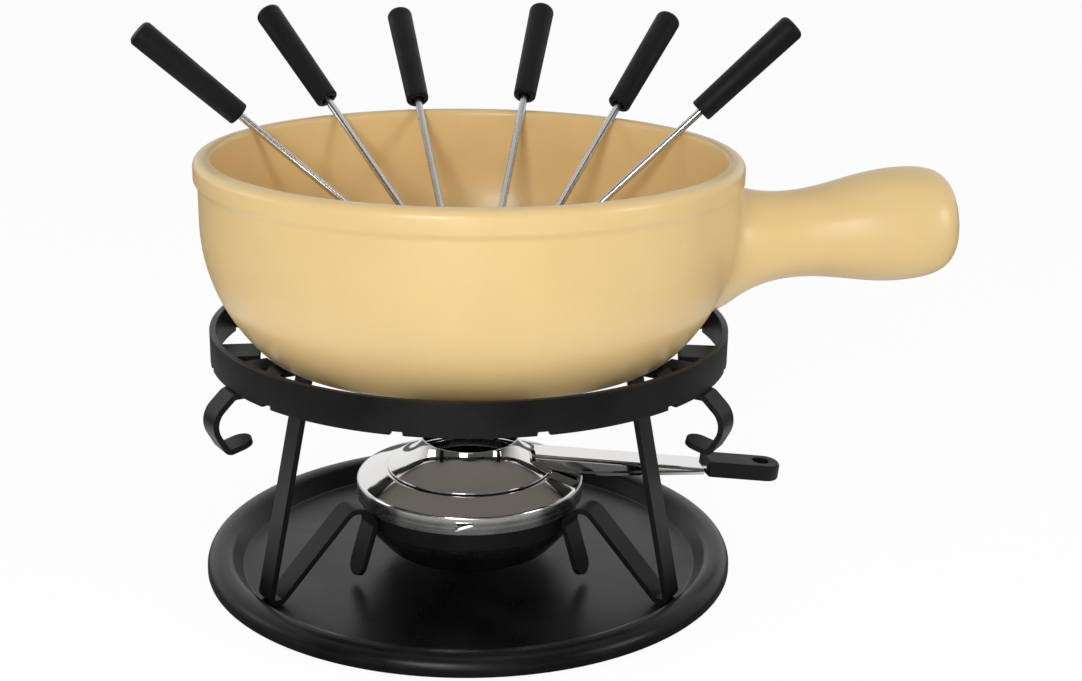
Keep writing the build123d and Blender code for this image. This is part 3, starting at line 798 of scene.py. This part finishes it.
class FONDUE_OT_burner_cover(Operator):
    """Make the chrome cover: skirt with its three cams, sloping plate and neck"""

    bl_idname = "fondue.burner_cover"
    bl_label = "Burner cover"

    def execute(self, context):
        sheet = context.scene.fondue_burner.sheet / MM
        low, high = (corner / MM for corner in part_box("burner_cover"))
        skirt = SKIRT_RADIUS - sheet / 2
        skirt_height, plate_radius = 8.25, 39.6
        outline = rounded(
            [
                (skirt, low.z), (skirt, low.z + skirt_height), (plate_radius, PLATE_HEIGHT),
                (NECK_RADIUS, PLATE_HEIGHT), (NECK_RADIUS, high.z),
            ],
            (1.3, 2.0, 1.2),
        )
        finish = burner_chrome(context.scene.fondue_finish)
        cover = make_piece(
            lathe(evenly(outline, 3.0), 192), "cover_chrome", finish, "burner_cover",
            ["burner_cover"],
        )
        thicken(cover, sheet)
        round_edges(cover, 0.3)
        for number, azimuth in enumerate((-90, 30, 150), start=1):
            mesh = self.cam(skirt + sheet / 2, low.z + 1.0)
            spin_about(mesh, azimuth)
            make_piece(
                mesh, f"cover_cam_{number}", finish, "burner_cover", [], 60,
            )
        return {"FINISHED"}

    def cam(self, radius, foot):
        """Raise one long triangle from the skirt, pressed soft at its edges."""
        length, height, depth = 13.6, 5.0, 0.5
        outline = rounded(
            [(0, height), (-length / 2, height), (-length / 2, 0.6), (length / 2, height), (0, height)],
            (0.9, 0.9, 0.9),
        )
        outline = evenly(outline, 1.5)[:-1]
        mesh = bmesh.new()
        base = mesh.faces.new([mesh.verts.new((radius - 0.3, y, foot + z)) for y, z in outline])
        grown = bmesh.ops.extrude_face_region(mesh, geom=[base])["geom"]
        raised = [element for element in grown if isinstance(element, bmesh.types.BMVert)]
        bmesh.ops.translate(mesh, verts=raised, vec=(0.3 + depth, 0, 0))
        top = [element for element in grown if isinstance(element, bmesh.types.BMFace)]
        for thickness, lift in ((0.35, 0.0), (0.6, -0.12), (0.5, -0.35)):
            bmesh.ops.inset_region(mesh, faces=top, thickness=thickness, depth=lift)
        for vert in mesh.verts:
            vert.co.x += sqrt(radius**2 - vert.co.y**2) - radius
        bmesh.ops.recalc_face_normals(mesh, faces=mesh.faces)
        return mesh


class FONDUE_OT_regulator(Operator):
    """Make the regulator: flared hood, folded arm, plastic grip and its rivet"""

    bl_idname = "fondue.regulator"
    bl_label = "Regulator"

    def execute(self, context):
        look = context.scene.fondue_finish
        sheet = context.scene.fondue_burner.sheet / MM
        outline = curve((38.15, 46.75), (30, 48.8), (23.8, 53.4), (21.8, 60.4), 26)
        finish = burner_chrome(look)
        hood = make_piece(
            lathe(outline, 192), "hood_chrome", finish, "regulator",
            ["regulator_hood"],
        )
        thicken(hood, sheet)
        round_edges(hood, 0.38)
        soot = coat_of("soot", look, 0.7, 300.0, 0.02)
        hood.data.materials.append(soot)
        hood.modifiers["sheet"].material_offset = 1
        arm = make_piece(
            merged_copy("regulator_arm"), "arm_chrome", finish, "regulator",
            ["regulator_arm"], 30,
        )
        round_edges(arm, 0.22, 60.0, 2)
        even_shading(arm)
        plastic = finish_of("grip_plastic", moulded_plastic, "grip_plastic", look, 1100.0, 0.05)
        grip = make_piece(
            merged_copy("regulator_grip"), "grip_black", plastic, "regulator",
            ["regulator_grip"], 35,
        )
        round_edges(grip, 0.3, 60.0, 2)
        even_shading(grip)
        metal = cup_metal()
        make_piece(
            merged_copy("grip_rivet"), "rivet_steel", metal, "regulator",
            ["grip_rivet"], 35,
        )
        return {"FINISHED"}


# ---------------------------------------------------------------- forks
class FONDUE_OT_forks(Operator):
    """Finish the forks: steel shanks with tines, and black grained handles"""

    bl_idname = "fondue.forks"
    bl_label = "Forks"

    def execute(self, context):
        look = context.scene.fondue_finish
        metal = finish_of(
            "fork_steel", steel, "fork_steel", look.steel_colour, 0.24, (1.0, 1.0, 1.0), 0.001,
        )
        plastic = finish_of("fork_plastic", moulded_plastic, "fork_plastic", look, 1500.0, 0.04)
        for number in FORKS:
            body = f"fork_{number}"
            make_piece(
                merged_copy(f"{body}_shank"), f"{body}_steel", metal, body,
                [f"{body}_shank"], 35,
            )
            make_piece(
                merged_copy(f"{body}_handle"), f"{body}_black", plastic, body,
                [f"{body}_handle"], 35,
            )
        return {"FINISHED"}


# ---------------------------------------------------------------- stage
class FONDUE_OT_stage(Operator):
    """Set up the pale floor, the studio light and the camera"""

    bl_idname = "fondue.stage"
    bl_label = "Stage"

    def execute(self, context):
        scene = context.scene
        settings = scene.fondue_stage
        scene.view_settings.view_transform = "Standard"
        self.world(scene, settings)
        self.floor(settings)
        for name, place, target, size, share in SOFTBOXES:
            self.softbox(name, place, target, size, settings.key * share)
        self.camera(scene, settings)
        return {"FINISHED"}

    def world(self, scene, settings):
        """White for the eye, and for reflections and fill a studio with a dark room in front."""
        world = bpy.data.worlds.new("studio")
        world.use_nodes = True
        scene.world = world
        tree = world.node_tree
        tree.nodes.clear()
        studio = Finish("studio", tree)
        eye, mirrored = self.seen_by(studio)
        direction = studio.node("TexCoord", output="Generated")
        apart = studio.node("SeparateXYZ", None, {"Vector": direction})
        ahead = Wire(studio, apart.socket.node.outputs["Y"])
        upward = Wire(studio, apart.socket.node.outputs["Z"])
        sweep = studio.ramp(ahead + 0.35 * upward, settings.room, 1.0, -0.10, 0.75)
        shown = studio.node("MapRange", {"clamp": True}, {"Value": eye, "To Min": sweep, "To Max": 1.0})
        background = studio.node(
            "Background", None, {"Color": (*settings.backdrop, 1.0), "Strength": shown},
        )
        around = studio.ramp(upward, settings.fill, settings.fill * 0.2, 0.0, 0.75)
        fill = studio.node("Background", None, {"Color": (1, 1, 1, 1), "Strength": around})
        mixed = studio.node("MixShader", None, {0: eye + mirrored, 1: fill, 2: background})
        output = tree.nodes.new("ShaderNodeOutputWorld")
        tree.links.new(mixed.socket, output.inputs["Surface"])

    def seen_by(self, stage):
        """Light Path's wires: seen by the eye, and seen in metal or glass."""
        path = stage.node("LightPath").socket.node
        eye, glossy, through = (
            Wire(stage, path.outputs[f"Is {kind} Ray"]) for kind in ("Camera", "Glossy", "Transmission")
        )
        return eye, glossy + through

    def floor(self, settings):
        """A pale floor with a faint shadow, dim in reflections apart from a glowing band round the set:
        painted shade inside the band for the set's contact shadow, and a painted glow for metal to
        reflect.
        """
        mesh = bmesh.new()
        bmesh.ops.create_circle(mesh, cap_ends=True, radius=6.0, segments=64)
        bmesh.ops.translate(mesh, verts=mesh.verts, vec=(0, 0, -0.0004))
        data = bpy.data.meshes.new("floor")
        mesh.to_mesh(data)
        mesh.free()
        material = bpy.data.materials.new("floor_paper")
        material.use_nodes = True
        tree = material.node_tree
        tree.nodes.clear()
        paper = Finish("floor_paper", tree)
        eye, mirrored = self.seen_by(paper)
        matte = paper.node("BsdfDiffuse", None, {"Color": (0.82, 0.82, 0.82, 1.0)})
        spot = paper.node("TexCoord", output="Object")
        distance = paper.node("VectorMath", {"operation": "LENGTH"}, {0: spot}, output="Value")
        painted_band_level = 0.85
        # Painted shade and glow: in reflections the floor stays dim within 0.155 m of the middle, standing
        # for the set's contact shadow, and beyond that it glows in a band that the metal shows as painted
        # reflections.
        rise = paper.ramp(distance, 0.0, painted_band_level, 0.155, 0.185)
        fall = paper.ramp(distance, 1.0, 0.0, 0.27, 0.40)
        strength = settings.room + (1.0 - settings.room) * eye + rise * fall * mirrored
        white = (*settings.backdrop, 1.0)
        glow = paper.node("Emission", None, {"Color": white, "Strength": strength * 1.05})
        mixed = paper.node("MixShader", None, {0: (eye + mirrored) * 0.9, 1: matte, 2: glow})
        output = tree.nodes.new("ShaderNodeOutputMaterial")
        tree.links.new(mixed.socket, output.inputs["Surface"])
        data.materials.append(material)
        floor = bpy.data.objects.new("floor", data)
        bpy.context.scene.collection.objects.link(floor)

    def softbox(self, name, place, target, size, power):
        """A square area lamp that faces a point."""
        lamp = bpy.data.lights.new(name, "AREA")
        lamp.size = size
        lamp.energy = power
        holder = bpy.data.objects.new(name, lamp)
        away = Vector(place) - Vector(target)
        holder.matrix_world = Matrix.Translation(place) @ away.to_track_quat("Z", "Y").to_matrix().to_4x4()
        bpy.context.scene.collection.objects.link(holder)

    def camera(self, scene, settings):
        """Aim the camera by its pitch, yaw and roll."""
        pitch, yaw, roll = settings.pitch, settings.yaw, settings.roll
        ahead = Vector((sin(yaw) * cos(pitch), cos(yaw) * cos(pitch), -sin(pitch)))
        level = Vector((cos(yaw), -sin(yaw), 0.0))
        upright = level.cross(ahead)
        right = level * cos(roll) + upright * sin(roll)
        above = upright * cos(roll) - level * sin(roll)
        turned = Matrix((right, above, -ahead)).transposed().to_4x4()
        data = bpy.data.cameras.new("camera")
        data.lens = settings.lens
        data.sensor_width = 36.0
        camera = bpy.data.objects.new("camera", data)
        camera.matrix_world = Matrix.Translation(settings.eye) @ turned
        scene.collection.objects.link(camera)
        scene.camera = camera


# ---------------------------------------------------------------- add-on
class FONDUE_PT_panel(Panel):
    """Sidebar panel with one button for each piece"""

    bl_idname = "FONDUE_PT_panel"
    bl_label = "Fondue pot set"
    bl_space_type = "VIEW_3D"
    bl_region_type = "UI"
    bl_category = "Fondue"

    def draw(self, context):
        for operator in OPERATORS:
            self.layout.operator(operator.bl_idname)
        for name in SETTINGS:
            group = getattr(context.scene, name)
            box = self.layout.box()
            for field in group.__annotations__:
                box.prop(group, field)


OPERATORS = (
    FONDUE_OT_stage, FONDUE_OT_tray, FONDUE_OT_stand_ring, FONDUE_OT_legs, FONDUE_OT_pot,
    FONDUE_OT_burner, FONDUE_OT_burner_cover, FONDUE_OT_regulator, FONDUE_OT_forks,
)
SETTINGS = {
    "fondue_finish": FondueFinishSettings,
    "fondue_pot": FonduePotSettings,
    "fondue_stand": FondueStandSettings,
    "fondue_burner": FondueBurnerSettings,
    "fondue_stage": FondueStageSettings,
}


def register():
    for group in (*SETTINGS.values(), *OPERATORS, FONDUE_PT_panel):
        bpy.utils.register_class(group)
    for name, group in SETTINGS.items():
        setattr(bpy.types.Scene, name, PointerProperty(type=group))


def unregister():
    for name in SETTINGS:
        delattr(bpy.types.Scene, name)
    for group in (FONDUE_PT_panel, *reversed(OPERATORS), *reversed(list(SETTINGS.values()))):
        bpy.utils.unregister_class(group)


def main():
    register()
    for operator in OPERATORS:
        module, name = operator.bl_idname.split(".")
        getattr(getattr(bpy.ops, module), name)()


if __name__ == "__main__":
    main()
